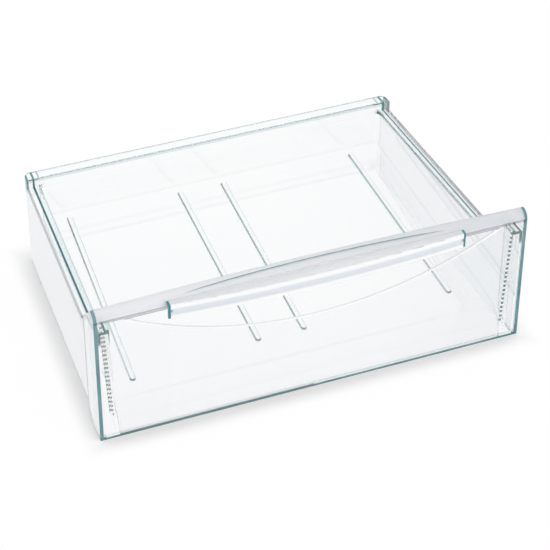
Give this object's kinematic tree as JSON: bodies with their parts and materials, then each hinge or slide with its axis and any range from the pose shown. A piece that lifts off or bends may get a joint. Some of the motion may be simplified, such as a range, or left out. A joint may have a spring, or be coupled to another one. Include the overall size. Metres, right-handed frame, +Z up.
{
  "type": "freezer drawer",
  "caption": "Clear plastic pull-out freezer drawer: double-walled tub with a climbing floor and ribs, broad front panel with a half-moon grip opening and a bowed handle strip.",
  "frame": {"origin": "middle of the drawer's outline on the surface that it stands on", "axes": "+X to the right seen from the front, +Y from the handle to the rear, +Z up"},
  "size_m": [0.454, 0.322, 0.1565],
  "materials": {
    "clear_panel": "clear, polished, satin on the lip and the handle, teal at the edges",
    "clear_tub": "clear, polished, teal at the edges"
  },
  "bodies": {
    "root": {"front_panel": "clear_panel", "drawer_tub": "clear_tub"}
  },
  "joints": []
}
